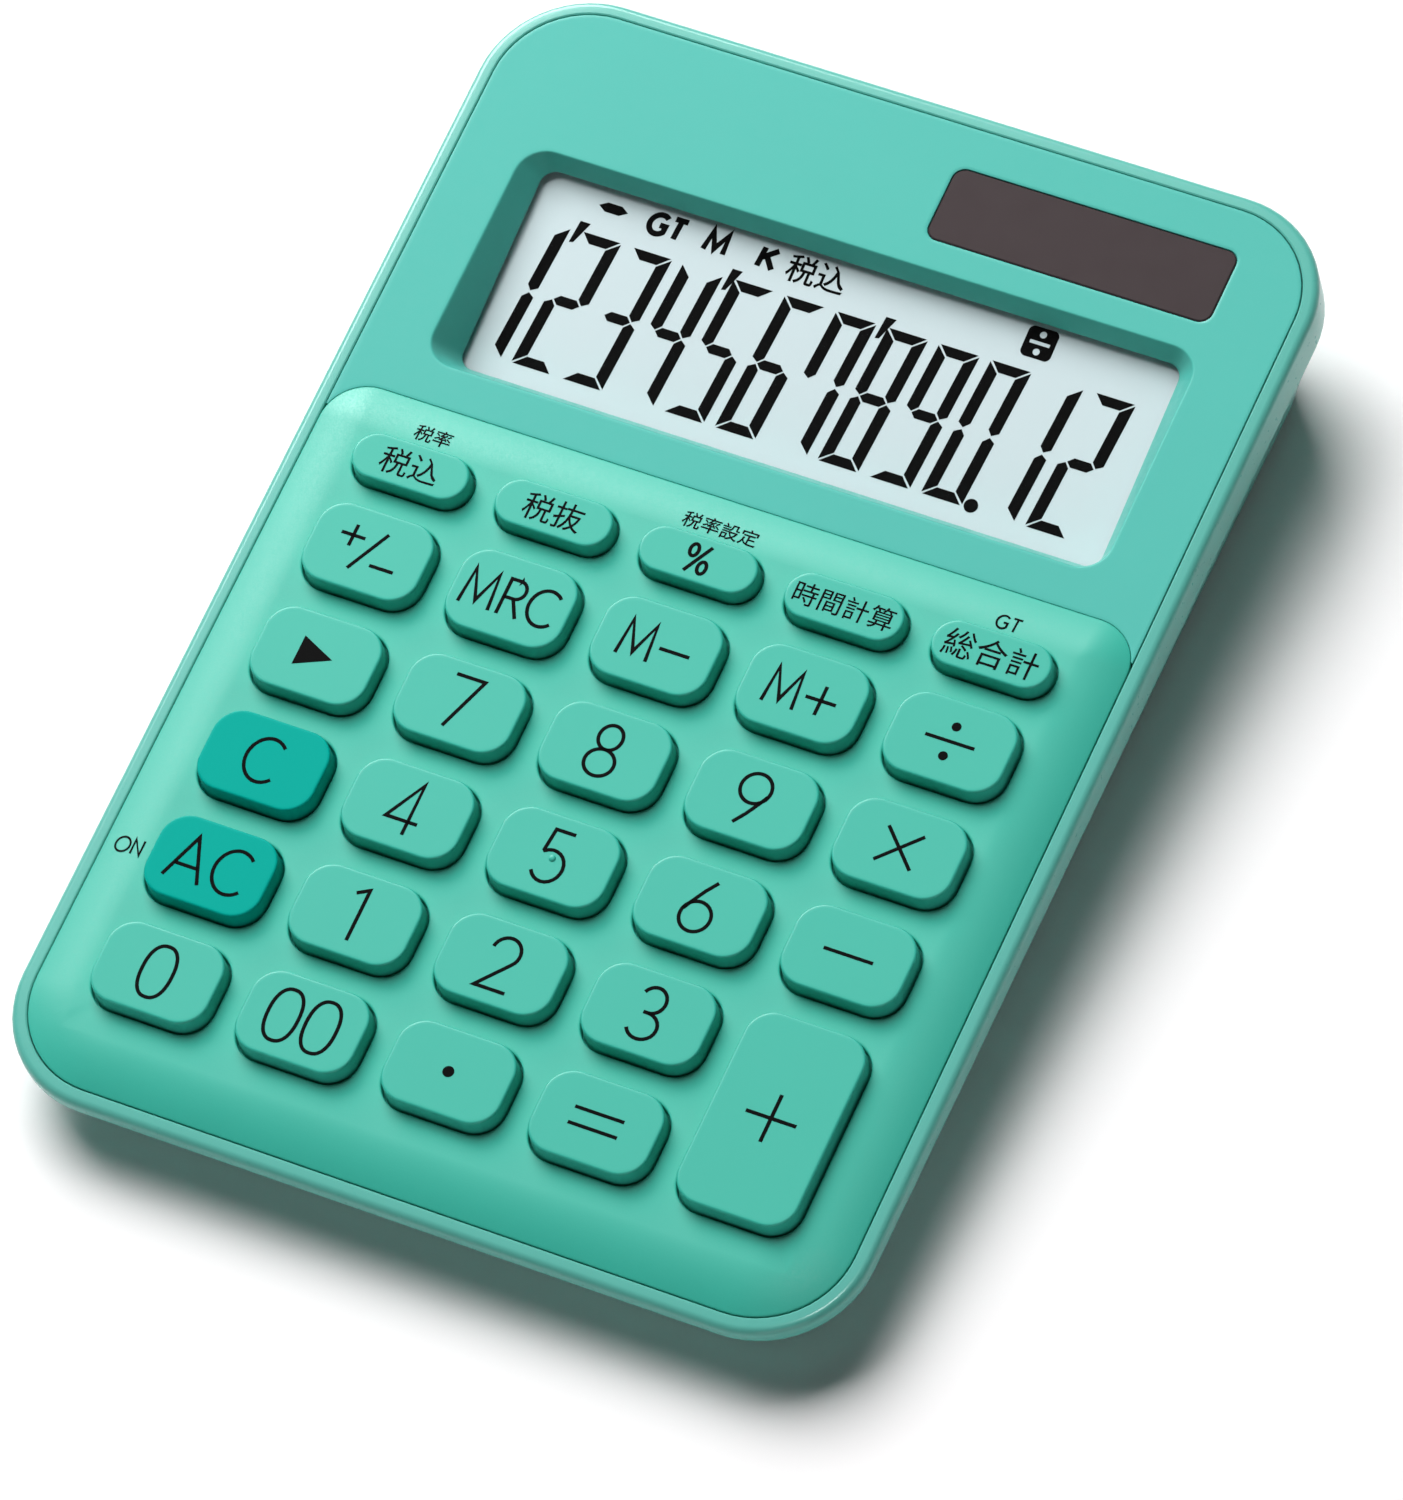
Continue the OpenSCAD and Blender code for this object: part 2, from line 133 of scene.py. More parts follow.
# ---------------------------------------------------------------- outlines, rings and meshes
def arc(cx, cy, rx, ry, start, end, steps=10):
    """Points on an ellipse's arc, from start to end in degrees, both included."""
    angles = [math.radians(start + (end - start) * i / steps) for i in range(steps + 1)]
    return [(cx + rx * math.cos(a), cy + ry * math.sin(a)) for a in angles]


def rounded(w, l, r_top, r_low=None, mid=(0, 0), steps=10):
    """A rounded rectangle's outline, anticlockwise, with one radius above and one below."""
    r_low = r_top if r_low is None else r_low
    x, y = w / 2, l / 2
    corners = [(x - r_top, y - r_top, r_top, 0), (r_top - x, y - r_top, r_top, 90),
               (r_low - x, r_low - y, r_low, 180), (x - r_low, r_low - y, r_low, 270)]
    return [(mid[0] + px, mid[1] + py)
            for cx, cy, r, a in corners for px, py in arc(cx, cy, r, r, a, a + 90, steps)]


def at(outline, z):
    """An outline lifted to a height, which may be a function of x and y."""
    return [Vector((x, y, z(x, y) if callable(z) else z)) for x, y in outline]


class Shell:
    """Collects rings of points into one mesh."""

    def __init__(self):
        self.bm = bmesh.new()

    def ring(self, points):
        """Adds a ring of points."""
        return [self.bm.verts.new(p) for p in points]

    def join(self, a, b):
        """Joins two rings of equal length with a band of faces."""
        for i in range(len(a)):
            k = (i + 1) % len(a)
            self.bm.faces.new((a[i], a[k], b[k], b[i]))

    def loft(self, outlines):
        """Joins rings of equal length in turn, and returns the first and the last."""
        rings = [self.ring(points) for points in outlines]
        for a, b in zip(rings, rings[1:]):
            self.join(a, b)
        return rings[0], rings[-1]

    def cap(self, ring):
        """Closes a ring with one face."""
        self.bm.faces.new(ring)

    def pit(self, outlines):
        """Joins rings, closes the last and returns the first."""
        mouth, end = self.loft(outlines)
        self.cap(end)
        return mouth

    def solid(self, outlines):
        """Joins rings and closes both ends."""
        self.cap(self.pit(outlines))

    def fill(self, *loops):
        """Fills the flat region between an outer loop and the loops inside it."""
        edges = []
        for loop in loops:
            for i in range(len(loop)):
                pair = (loop[i], loop[(i + 1) % len(loop)])
                edges.append(self.bm.edges.get(pair) or self.bm.edges.new(pair))
        bmesh.ops.triangle_fill(self.bm, edges=edges, use_beauty=True, use_dissolve=False)

    def piece(self, name, place, material, sharp):
        """Makes the object, whose edges are sharp beyond an angle in degrees."""
        bmesh.ops.recalc_face_normals(self.bm, faces=self.bm.faces)
        mesh = bpy.data.meshes.new(name)
        self.bm.to_mesh(mesh)
        self.bm.free()
        return finish_mesh(mesh, name, place, material, sharp)


def finish_mesh(mesh, name, place, material, sharp):
    """Moves a mesh into the row frame, shades it and makes its object."""
    mesh.transform(place)
    mesh.materials.clear()
    mesh.materials.append(material)
    for face in mesh.polygons:
        face.use_smooth = True
    mesh.set_sharp_from_angle(angle=math.radians(sharp))
    piece = bpy.data.objects.new(name, mesh)
    bpy.context.scene.collection.objects.link(piece)
    return piece


def belongs(piece, body, slot, *nodes):
    """Puts a piece on its body and hides the CAD nodes that it stands for; slot is not used."""
    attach(piece, body)
    if nodes:
        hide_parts(*nodes)


# ---------------------------------------------------------------- materials
def shader(name):
    """A new material with its node tree, its surface shader and its object coordinates."""
    material = bpy.data.materials.new(name)
    material.use_nodes = True
    tree = material.node_tree
    surface = tree.nodes["Principled BSDF"]
    place = tree.nodes.new("ShaderNodeTexCoord")
    return material, tree, surface, place.outputs["Object"]


# Distance over which a plastic's colour drifts
DRIFT_MM = 14.0
COAT_ROUGHNESS = 0.12
# Share of the light that a clear cover reflects
COVER_SHINE = 0.02


def noise(tree, place, size_mm, detail=2.0, roughness=0.5):
    """Noise whose features are about size_mm across."""
    node = tree.nodes.new("ShaderNodeTexNoise")
    node.inputs["Scale"].default_value = 1000.0 / size_mm
    node.inputs["Detail"].default_value = detail
    node.inputs["Roughness"].default_value = roughness
    tree.links.new(place, node.inputs["Vector"])
    return node.outputs["Fac"]


def spread(tree, value, low, high):
    """Maps noise from its usual range to low and high."""
    node = tree.nodes.new("ShaderNodeMapRange")
    node.inputs["From Min"].default_value = 0.3
    node.inputs["From Max"].default_value = 0.7
    node.inputs["To Min"].default_value = low
    node.inputs["To Max"].default_value = high
    tree.links.new(value, node.inputs["Value"])
    return node.outputs["Result"]


def tint(tree, value, colour, change):
    """A colour that drifts lighter and darker with a noise value."""
    node = tree.nodes.new("ShaderNodeMix")
    node.data_type = "RGBA"
    node.inputs["A"].default_value = [c * (1 - change) for c in colour] + [1]
    node.inputs["B"].default_value = [min(1, c * (1 + change)) for c in colour] + [1]
    tree.links.new(value, node.inputs["Factor"])
    return node.outputs["Result"]


def moulded(name, colour, roughness, grain_mm=0.25, depth_mm=0.004, coat=0.0, change=0.02, metal=0.0,
            wander=0.05, shine=0.5):
    """Moulded plastic, rubber or metal: drifting colour, grained surface and uneven gloss.

    The grain is grain_mm across and depth_mm deep. change is the drift of the colour, wander that of
    the roughness, and shine the strength of the reflection.
    """
    material, tree, surface, place = shader(name)
    drift = noise(tree, place, DRIFT_MM)
    grain = noise(tree, place, grain_mm, 3.0, 0.6)
    tree.links.new(tint(tree, drift, colour, change), surface.inputs["Base Color"])
    tree.links.new(spread(tree, grain, roughness - wander, roughness + wander), surface.inputs["Roughness"])
    bump = tree.nodes.new("ShaderNodeBump")
    bump.inputs["Distance"].default_value = depth_mm / 1000
    bump.inputs["Strength"].default_value = 1.0
    tree.links.new(grain, bump.inputs["Height"])
    tree.links.new(bump.outputs["Normal"], surface.inputs["Normal"])
    surface.inputs["Metallic"].default_value = metal
    surface.inputs["Specular IOR Level"].default_value = shine
    surface.inputs["Coat Weight"].default_value = coat
    surface.inputs["Coat Roughness"].default_value = COAT_ROUGHNESS
    return material


def clear(name, tone, gloss):
    """A thin clear cover: mostly transparent, with a soft surface reflection."""
    material, tree, surface, _ = shader(name)
    out = tree.nodes["Material Output"]
    through = tree.nodes.new("ShaderNodeBsdfTransparent")
    through.inputs["Color"].default_value = tone + [1]
    shine = tree.nodes.new("ShaderNodeBsdfGlossy")
    shine.inputs["Roughness"].default_value = gloss
    mix = tree.nodes.new("ShaderNodeMixShader")
    mix.inputs["Fac"].default_value = COVER_SHINE
    tree.links.new(through.outputs["BSDF"], mix.inputs[1])
    tree.links.new(shine.outputs["BSDF"], mix.inputs[2])
    tree.links.new(mix.outputs["Shader"], out.inputs["Surface"])
    tree.nodes.remove(surface)
    return material


PANEL_GREEN = [0.077, 0.434, 0.372]
RIM_GREEN = [0.100, 0.420, 0.355]
KEYS_GREEN = [0.032, 0.415, 0.318]
CAP_GREEN = [0.033, 0.415, 0.320]
CLEAR_TEAL = [0.001, 0.353, 0.290]

LOOKS = {
    "case_plastic": moulded("case_plastic", RIM_GREEN, 0.3, 0.8, 0.0001, 0.3, wander=0.03, shine=0.2),
    "panel_plastic": moulded("panel_plastic", PANEL_GREEN, 0.34, 0.8, 0.0002, shine=0.13),
    "keyboard_plastic": moulded("keyboard_plastic", KEYS_GREEN, 0.5, 0.22, 0.006, change=0.025, wander=0.1,
                                shine=0.43),
    "key_plastic": moulded("key_plastic", CAP_GREEN, 0.42, 0.3, 0.0008, shine=0.3),
    "clear_key_plastic": moulded("clear_key_plastic", CLEAR_TEAL, 0.4, 0.3, 0.001, shine=0.03),
    "clear_plastic": clear("clear_plastic", [0.985, 0.99, 0.99], 0.05),
    "lcd_glass": moulded("lcd_glass", [0.62, 0.715, 0.74], 0.5, 0.6, 0.0005, change=0.012, shine=0.1),
    "reflector_film": moulded("reflector_film", [0.6, 0.62, 0.6], 0.35, 0.3, 0.001),
    "white_plastic": moulded("white_plastic", [0.75, 0.75, 0.72], 0.4),
    "ribbon_film": moulded("ribbon_film", [0.25, 0.17, 0.07], 0.35),
    "smoked_plastic": moulded("smoked_plastic", [0.046, 0.034, 0.036], 0.3, 3.0, 0.0002, change=0.03,
                              wander=0.02, shine=0.1),
    "cell_glass": moulded("cell_glass", [0.04, 0.025, 0.03], 0.2),
    "board_laminate": moulded("board_laminate", [0.03, 0.16, 0.05], 0.4),
    "carbon_ink": moulded("carbon_ink", [0.003, 0.003, 0.003], 0.5, 0.15, 0.001, shine=0.02),
    "epoxy": moulded("epoxy", [0.01, 0.01, 0.01], 0.25),
    "capacitor_sleeve": moulded("capacitor_sleeve", [0.01, 0.02, 0.14], 0.3),
    "silicone": moulded("silicone", [0.5, 0.52, 0.5], 0.5),
    "carbon_rubber": moulded("carbon_rubber", [0.01, 0.01, 0.01], 0.7),
    "screw_steel": moulded("screw_steel", [0.55, 0.55, 0.56], 0.3, 0.4, 0.002, metal=1.0),
    "cell_steel": moulded("cell_steel", [0.7, 0.71, 0.73], 0.25, 0.4, 0.002, metal=1.0),
    "contact_brass": moulded("contact_brass", [0.7, 0.55, 0.25], 0.3, 0.4, 0.002, metal=1.0),
    "wire_sleeve": moulded("wire_sleeve", [0.5, 0.03, 0.02], 0.4),
    "black_rubber": moulded("black_rubber", [0.015, 0.015, 0.016], 0.75, 0.3, 0.01),
    "label_film": moulded("label_film", [0.68, 0.69, 0.7], 0.4, 0.5, 0.001),
}


def paint_frame():
    """Gives every CAD node the material of its slot."""
    for part in frame["record"]["subparts"]:
        node = NODES[part["node"]]
        for holder in node.material_slots:
            holder.link = "OBJECT"
            holder.material = LOOKS[part["material_slot"]]


# ---------------------------------------------------------------- rear case
# Depth of the case's upright band halfway up the slope, and how far its lower edge turns in
BAND = 4.0
TUCK = 0.8
# Radius of the rim's rounded outer edge
ROUND = 0.9
# Thickness of the case's wall at the top
LINING = 3.6
# How much narrower and shorter the case's floor is than its outline, and how much smaller its corners
FLOOR_SLIM = (9, 10)
FLOOR_CORNER = 3.5
# Height share at which the side starts to turn into the floor, and the width of that turn
SIDE_END = 0.86
FLOOR_TURN = 1.2
SCREW_PIT_R = 2.2
FOOT_PIT_R = 4.3
LABEL_GAP = 0.2
# Width of the small chamfer round each pit
CHAMFER = 0.15


def bead_low(x, y):
    """Height of the lower edge of the case's upright band, which deepens towards the rear."""
    return -BAND - BAND * y / BODY_L


def case_ring(inset, z):
    """A ring round the case at an inset from its widest outline, in the row frame's millimetres."""
    outline = rounded(BODY_W - 2 * inset, BODY_L - 2 * inset, max(CORNER - inset, 1), steps=14)
    back = TO_TOP.inverted()
    return [back @ p for p in at(outline, z)]


def floor_ring(inset, z):
    """A level ring at an inset from the edge of the case's floor, in the row frame's millimetres."""
    w, l = BODY_W - FLOOR_SLIM[0] - 2 * inset, BODY_L - FLOOR_SLIM[1] - 2 * inset
    return at(rounded(w, l, CORNER - FLOOR_CORNER - inset, steps=14), z)


def between(a, b, t):
    """The ring a share t of the way from one ring to another."""
    return [p.lerp(q, t) for p, q in zip(a, b)]


def bend(a, corner, b, t):
    """A point of the quadratic curve that turns each point of a into b round its corner."""
    return between(between(a, corner, t), between(corner, b, t), t)


def circle(x, y, r, z, steps=28):
    """A level circle as a ring, without its first point twice."""
    return at(arc(x, y, r, r, 0, 360 - 360 / steps, steps - 1), z)


def islands(node):
    """The centre and highest corner of each separate solid of a CAD node, in the row frame's millimetres."""
    bm = bmesh.new()
    bm.from_mesh(NODES[node].data)
    bmesh.ops.remove_doubles(bm, verts=bm.verts, dist=1e-6)
    found, seen = [], set()
    for start in bm.verts:
        if start in seen:
            continue
        group, todo = [], [start]
        seen.add(start)
        while todo:
            v = todo.pop()
            group.append(v.co.copy())
            for e in v.link_edges:
                w = e.other_vert(v)
                if w not in seen:
                    seen.add(w)
                    todo.append(w)
        low = Vector(min(p[i] for p in group) for i in range(3))
        high = Vector(max(p[i] for p in group) for i in range(3))
        found.append(((low + high) * 500, high * 1000))
    bm.free()
    return found


def build_case():
    """The rear case: rim, upright band and tapered sides, its floor with the pits, and its lining."""
    shell = Shell()
    rounding = [(ROUND * (1 - math.sin(a)), -0.05 - (ROUND + 0.05) * (1 - math.cos(a)))
                for a in [math.radians(15 * i) for i in range(1, 7)]]
    band = case_ring(0, bead_low)
    bend_corner = case_ring(0, lambda x, y: bead_low(x, y) - TUCK / 2)
    tucked = case_ring(TUCK, lambda x, y: bead_low(x, y) - TUCK)
    foot = floor_ring(0, FLOOR_Z)
    side = between(tucked, foot, SIDE_END)
    under = floor_ring(FLOOR_TURN, FLOOR_Z)
    outside = [case_ring(LINING, -SLAB - 0.1), case_ring(RIM, -SLAB - 0.1), case_ring(RIM, -0.3),
               case_ring(RIM - 0.06, -0.1), case_ring(RIM - 0.22, 0), case_ring(ROUND, -0.05)]
    outside += [case_ring(inset, z) for inset, z in rounding]
    outside += [case_ring(0, lambda x, y: bead_low(x, y) + 0.3)]
    outside += [bend(band, bend_corner, tucked, t) for t in (0, 0.5, 1)]
    outside += [side] + [bend(side, foot, under, t) for t in (0.25, 0.5, 0.75, 1)]
    first, last = shell.loft(outside)
    holes = []
    for middle, high in islands("case_screws"):
        x, y = middle.x, middle.y + (middle.z - FLOOR_Z) * math.sin(TILT)
        holes.append(shell.pit([circle(x, y, SCREW_PIT_R + CHAMFER, FLOOR_Z),
                                circle(x, y, SCREW_PIT_R, FLOOR_Z + CHAMFER),
                                circle(x, y - 0.3, SCREW_PIT_R, high.z - 4)]))
    for middle, high in islands("rubber_feet"):
        x, y = middle.x, middle.y
        holes.append(shell.pit([circle(x, y, FOOT_PIT_R + CHAMFER, FLOOR_Z),
                                circle(x, y, FOOT_PIT_R, FLOOR_Z + 0.1),
                                circle(x, y, FOOT_PIT_R, high.z)]))
    low, high = (Vector(c) * 1000 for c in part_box("rating_label"))
    outline = rounded(high.x - low.x + 2 * LABEL_GAP, high.y - low.y + 2 * LABEL_GAP, 2 * LABEL_GAP,
                      mid=((low.x + high.x) / 2, (low.y + high.y) / 2))
    holes.append(shell.pit([at(outline, FLOOR_Z), at(outline, high.z + 0.02)]))
    shell.fill(last, *holes)
    inner = floor_ring(1.8, FLOOR_Z + SLAB)
    lining, base = shell.loft([case_ring(LINING, -SLAB - 0.1), inner])
    shell.cap(base)
    bmesh.ops.remove_doubles(shell.bm, verts=first + lining, dist=0.001)
    case = shell.piece("case_shell", ROW, LOOKS["case_plastic"], 35)
    belongs(case, "base", "case_plastic", "rear_case")


# ---------------------------------------------------------------- display panel
# Gap at the seam between the display panel and the keyboard panel
PANEL_SEAM = 0.03
# Least angle, in degrees, at which a horn beside the keyboard panel ends
HORN = 18
# Depth of the step at the foot of the recess, where the display window starts
STEP = 0.15


def panel_outline(inset):
    """The display panel's outline, which ends below in two horns beside the keyboard panel."""
    x, y = PANEL_W / 2, PANEL_TOP
    cx, cy, r = x - KEYS_R, KEYS_TOP - KEYS_R, KEYS_R + PANEL_SEAM + inset
    horn = max(math.degrees(math.acos((KEYS_R - inset) / r)), HORN)
    right = arc(cx, cy, r, r, horn, 90, 10)
    outer = rounded(2 * (x - inset), 2 * (y - inset), PANEL_R - inset, steps=12)[:26]
    tip = (x - inset, right[0][1])
    left = [(-px, py) for px, py in right]
    return [tip] + outer + [(-tip[0], tip[1])] + left + right[::-1]


def recess_ring(grow, z):
    """A level ring round the recess at the panel's face."""
    return at(rounded(RECESS_W + 2 * grow, RECESS_L + 2 * grow, RECESS_R + grow, mid=(0, RECESS_Y)), z)


def window_ring(grow, drop):
    """A tilted ring round the opening at the foot of the recess."""
    outline = rounded(WINDOW_W + 2 * grow, WINDOW_L + 2 * grow, WINDOW_R + grow, mid=(0, WINDOW_Y))
    return at(outline, lambda x, y: WINDOW_Z + (y - WINDOW_Y) * WINDOW_SLOPE - drop)


def solar_ring(grow, z):
    """A ring round the solar window's seat."""
    grown = 2 * (SOLAR_GAP + grow)
    w, l = SOLAR_HIGH.x - SOLAR_LOW.x + grown, SOLAR_HIGH.y - SOLAR_LOW.y + grown
    return at(rounded(w, l, SOLAR_R + grow, mid=(SOLAR_MID.x, SOLAR_MID.y)), z)


def build_display():
    """The display panel with its recess and the seat of the solar window."""
    shell = Shell()
    edge = [(0, -SLAB), (0, -0.14), (0.02, -0.07), (0.07, -0.02), (0.14, 0), (0.5, 0)]
    outer_low, outer_top = shell.loft([at(panel_outline(inset), z) for inset, z in edge])
    lip, wall = recess_ring(0.16, 0), between(recess_ring(0, 0), window_ring(0, 0), 0.08)
    bottom = between(recess_ring(0, 0), window_ring(0, 0), 0.94)
    rings = [recess_ring(0.5, 0)] + [bend(lip, recess_ring(0, 0), wall, t / 6) for t in range(7)]
    rings += [bottom, window_ring(0, 0), window_ring(0, STEP), window_ring(1.2, STEP)]
    rings += [recess_ring(1.3, -SLAB)]
    recess_top, recess_low = shell.loft(rings)
    solar = [(0.5, 0), (0.22, 0), (0.08, -0.06), (0.02, -0.2), (0, 0.02 - PANE_T), (-0.8, -PANE_T),
             (-0.8, -SLAB)]
    solar_top, solar_low = shell.loft([solar_ring(grow, z) for grow, z in solar])
    shell.fill(outer_top, recess_top, solar_top)
    shell.fill(outer_low, recess_low, solar_low)
    panel = shell.piece("display_face", TOP, LOOKS["panel_plastic"], 35)
    belongs(panel, "base", "panel_plastic", "display_panel")


# ---------------------------------------------------------------- keyboard panel
# Power of the curve of the soft edge
EDGE_POWER = 1.8
# Gap between a key's wall and its hole, and the width of the flange that holds the key in
KEY_GAP = 0.25
FLANGE_W = 0.4
# Width of the keyboard panel's rim below its face
SKIRT = 2.2


def keys_ring(inset, z):
    """A level ring at an inset from the keyboard panel's outline."""
    r_top, r_low = max(KEYS_R - inset, 0.8), PANEL_R - inset
    return at(rounded(PANEL_W - 2 * inset, KEYS_L - 2 * inset, r_top, r_low, (0, KEYS_MID), 14), z)


def pillow_height(x, y):
    """Height of the keyboard panel's face, which falls away in a soft curve towards its edge."""
    r = KEYS_R if y > KEYS_MID else PANEL_R
    across, along = abs(x) - (PANEL_W / 2 - r), abs(y - KEYS_MID) - (KEYS_L / 2 - r)
    inset = r - math.hypot(max(across, 0), max(along, 0)) - min(max(across, along), 0)
    return flank(inset)


def flank(inset):
    """Height of the soft edge at a distance inside the panel's outline."""
    run = 1 - min(max(inset / SOFT_EDGE, 0), 1)
    return PILLOW * (1 - run ** EDGE_POWER)


def key_plan(node):
    """Middle, width, length and corner radius of a key's wall, in the top frame."""
    low, high = top_box(node)
    w, l = high.x - low.x - 2 * FLANGE_W, high.y - low.y - 2 * FLANGE_W
    return (low.x + high.x) / 2, (low.y + high.y) / 2, w, l, min(KEY_CORNER, l / 2 - 0.02), high.z


def soften(bm):
    """Bends the keyboard panel's flat face down towards its edge, from where its plain edge ends."""
    steps = 7
    for i in range(1, steps + 1):
        inset = PLAIN_EDGE + (SOFT_EDGE - PLAIN_EDGE) * i / steps
        side = PANEL_W / 2 - inset
        cuts = [((side, 0, 0), (1, 0, 0)), ((-side, 0, 0), (1, 0, 0)),
                ((0, KEYS_TOP - inset, 0), (0, 1, 0)), ((0, inset - PANEL_TOP, 0), (0, 1, 0))]
        for spot, across in cuts:
            face = [f for f in bm.faces if min(v.co.z for v in f.verts) > PILLOW - 1e-4]
            parts = set(face) | {e for f in face for e in f.edges} | {v for f in face for v in f.verts}
            bmesh.ops.bisect_plane(bm, geom=list(parts), plane_co=spot, plane_no=across)
    for v in bm.verts:
        if v.co.z > PILLOW - 0.3 and flank(PLAIN_EDGE - 0.01) < pillow_height(v.co.x, v.co.y):
            v.co.z -= PILLOW - pillow_height(v.co.x, v.co.y)


def build_keyboard():
    """The keyboard panel with its soft edge and a hole for each key."""
    shell = Shell()
    edge = [(0, -SLAB), (0, -0.12), (0.03, 0)]
    edge += [(inset, flank(inset)) for inset in (0.1, 0.25, 0.5, 0.8, 1.15, 1.5, 1.9, 2.3, 2.7)]
    edge += [(PLAIN_EDGE, PILLOW)]
    low, top = shell.loft([keys_ring(inset, z) for inset, z in edge])
    tops, unders = [], []
    for node in KEYS:
        x, y, w, l, r, _ = key_plan(node)
        rings = [at(rounded(w + 2 * g, l + 2 * g, r + g - 0.02, mid=(x, y)), z) for g, z in
                 [(0.62, PILLOW), (0.45, PILLOW), (0.31, PILLOW - 0.05), (KEY_GAP, PILLOW - 0.2),
                  (KEY_GAP, PILLOW - SLAB)]]
        hole_top, hole_low = shell.loft(rings)
        tops.append(hole_top)
        unders.append(hole_low)
    shell.fill(top, *tops)
    soften(shell.bm)
    skirt, inner = shell.loft([keys_ring(0, -SLAB), keys_ring(SKIRT, -SLAB),
                               keys_ring(SKIRT, PILLOW - SLAB)])
    bmesh.ops.remove_doubles(shell.bm, verts=low + skirt, dist=0.001)
    shell.fill(inner, *unders)
    panel = shell.piece("keyboard_face", TOP, LOOKS["keyboard_plastic"], 50)
    belongs(panel, "base", "keyboard_plastic", "keyboard_panel")


# ---------------------------------------------------------------- keys
# Radius of a key's upper edge, the taper of its wall, and its corner radius
KEY_ROUND = 0.3
DRAFT = 0.1
KEY_CORNER = 3.5
# Thickness of the flange, and its play below the keyboard panel
FLANGE_T = 0.8
FLANGE_PLAY = 0.15
STEM_R = 1.8


def build_key(node):
    """A key cap with its flange and its stem."""
    x, y, w, l, r, top = key_plan(node)
    low = top_box(node)[0].z
    slot = "clear_key_plastic" if node in ("key_clear", "key_all_clear") else "key_plastic"
    flange = PILLOW - SLAB - FLANGE_PLAY
    profile = [(FLANGE_W, flange - FLANGE_T), (FLANGE_W, flange), (0, flange), (0, PILLOW - 0.2)]
    profile += [(-DRAFT / 2, PILLOW + 0.6), (-DRAFT, top - 0.4)]
    profile += [(-DRAFT - KEY_ROUND * (1 - math.cos(a)), top - KEY_ROUND + KEY_ROUND * math.sin(a))
                for a in [math.radians(15 * i) for i in range(7)]]
    profile += [(-0.65, top), (-1.4, top)]
    shell = Shell()
    foot = shell.pit([at(rounded(w + 2 * grow, l + 2 * grow, max(r + grow, 0.3), mid=(x, y)), z)
                      for grow, z in profile])
    stem = shell.pit([circle(x, y, STEM_R, flange - FLANGE_T), circle(x, y, STEM_R, low + 0.1),
                      circle(x, y, STEM_R - 0.1, low)])
    shell.fill(foot, stem)
    cap = shell.piece("cap_" + node[4:], TOP, LOOKS[slot], 50)
    belongs(cap, node, slot, node)


# ---------------------------------------------------------------- printed legends
def bowl(cx, cy, rx, ry, steps=36):
    """A whole ellipse as a closed stroke."""
    return arc(cx, cy, rx, ry, 0, 360, steps)


def superbowl(rx, ry, power=2.35, steps=44):
    """A closed loop between an ellipse and a rounded rectangle."""
    points = []
    for i in range(steps + 1):
        a = 2 * math.pi * i / steps
        x, y = (math.copysign(abs(c) ** (2 / power), c) for c in (math.cos(a), math.sin(a)))
        points.append((rx * x, ry * y))
    return points


def flipped(strokes):
    """Strokes turned by half a turn."""
    return [[(-x, -y) for x, y in stroke] for stroke in strokes]


HALF = 0.472
SIX = [[(0.13, HALF), (-0.02, 0.27), (-0.17, 0.02), (-0.245, -0.12)], bowl(0, -0.2, 0.265, 0.272)]
